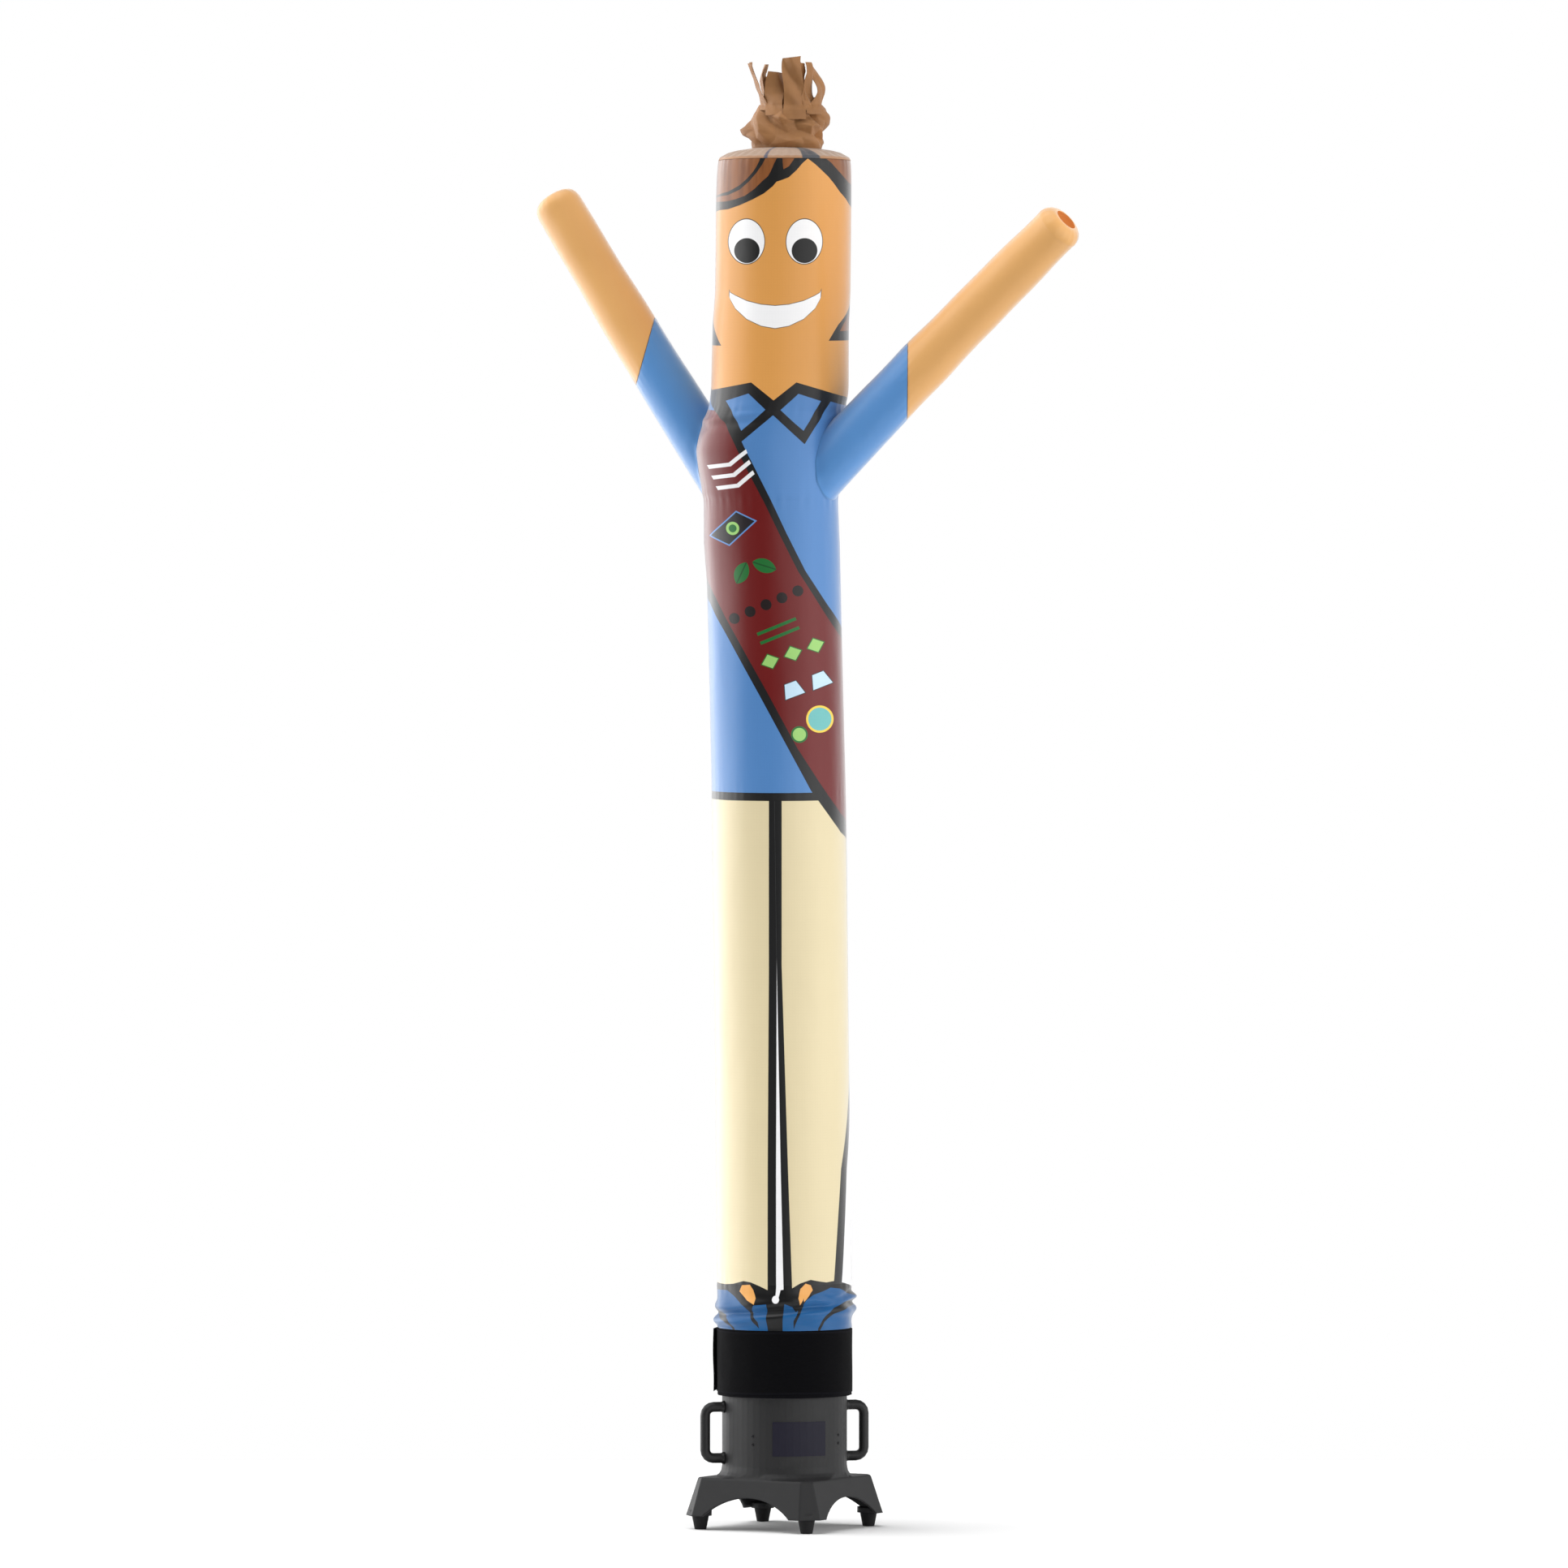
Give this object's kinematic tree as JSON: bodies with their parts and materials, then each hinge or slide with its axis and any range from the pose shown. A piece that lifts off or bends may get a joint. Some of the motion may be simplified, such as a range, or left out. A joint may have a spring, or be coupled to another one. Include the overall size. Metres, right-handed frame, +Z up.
{
  "type": "inflatable air dancer on its blower",
  "caption": "Inflatable air dancer: a printed cloth tube figure with two raised arms and a tuft of hair, strapped on a moulded blower.",
  "frame": {"origin": "on the floor, under the middle of the whole figure's box", "axes": "+Z up along the tube, -Y towards the front of the print, +X towards the arm that is on the right in front view"},
  "size_m": [1.2332, 0.6588, 3.3644],
  "materials": {
    "crown_cloth": "printed polyester, pale brown",
    "hair_cloth": "brown polyester, creased",
    "skin_cloth": "printed polyester, matt with a slight sheen",
    "blue_cloth": "printed polyester, matt with a slight sheen",
    "khaki_cloth": "printed polyester, matt with a slight sheen",
    "shoe_cloth": "printed polyester, matt with a slight sheen",
    "black_cuff": "plain black polyester",
    "black_webbing": "black hook-and-loop strap",
    "moulded_plastic": "dark grey moulded plastic, satin",
    "foot_rubber": "dull rubber",
    "label_plate": "dark blue label, bare",
    "blackened_screw": "blackened steel"
  },
  "bodies": {
    "root": {"crown_panel": "crown_cloth", "hair": "hair_cloth", "head_panel": "skin_cloth", "shoulder_panel": "blue_cloth", "shirt_panel": "blue_cloth", "trouser_panel": "khaki_cloth", "shoe_panel": "shoe_cloth", "right_sleeve": "blue_cloth", "left_sleeve": "blue_cloth", "right_forearm": "skin_cloth", "left_forearm": "skin_cloth", "cuff": "black_cuff", "strap": "black_webbing", "housing": "moulded_plastic", "foot_1": "foot_rubber", "foot_2": "foot_rubber", "foot_3": "foot_rubber", "foot_4": "foot_rubber", "right_handle": "moulded_plastic", "left_handle": "moulded_plastic", "label_plate": "label_plate", "intake_guard": "moulded_plastic", "cord_gland": "moulded_plastic", "screw_1": "blackened_screw", "screw_2": "blackened_screw", "screw_3": "blackened_screw", "screw_4": "blackened_screw", "screw_5": "blackened_screw", "screw_6": "blackened_screw", "screw_7": "blackened_screw", "screw_8": "blackened_screw"}
  },
  "joints": []
}
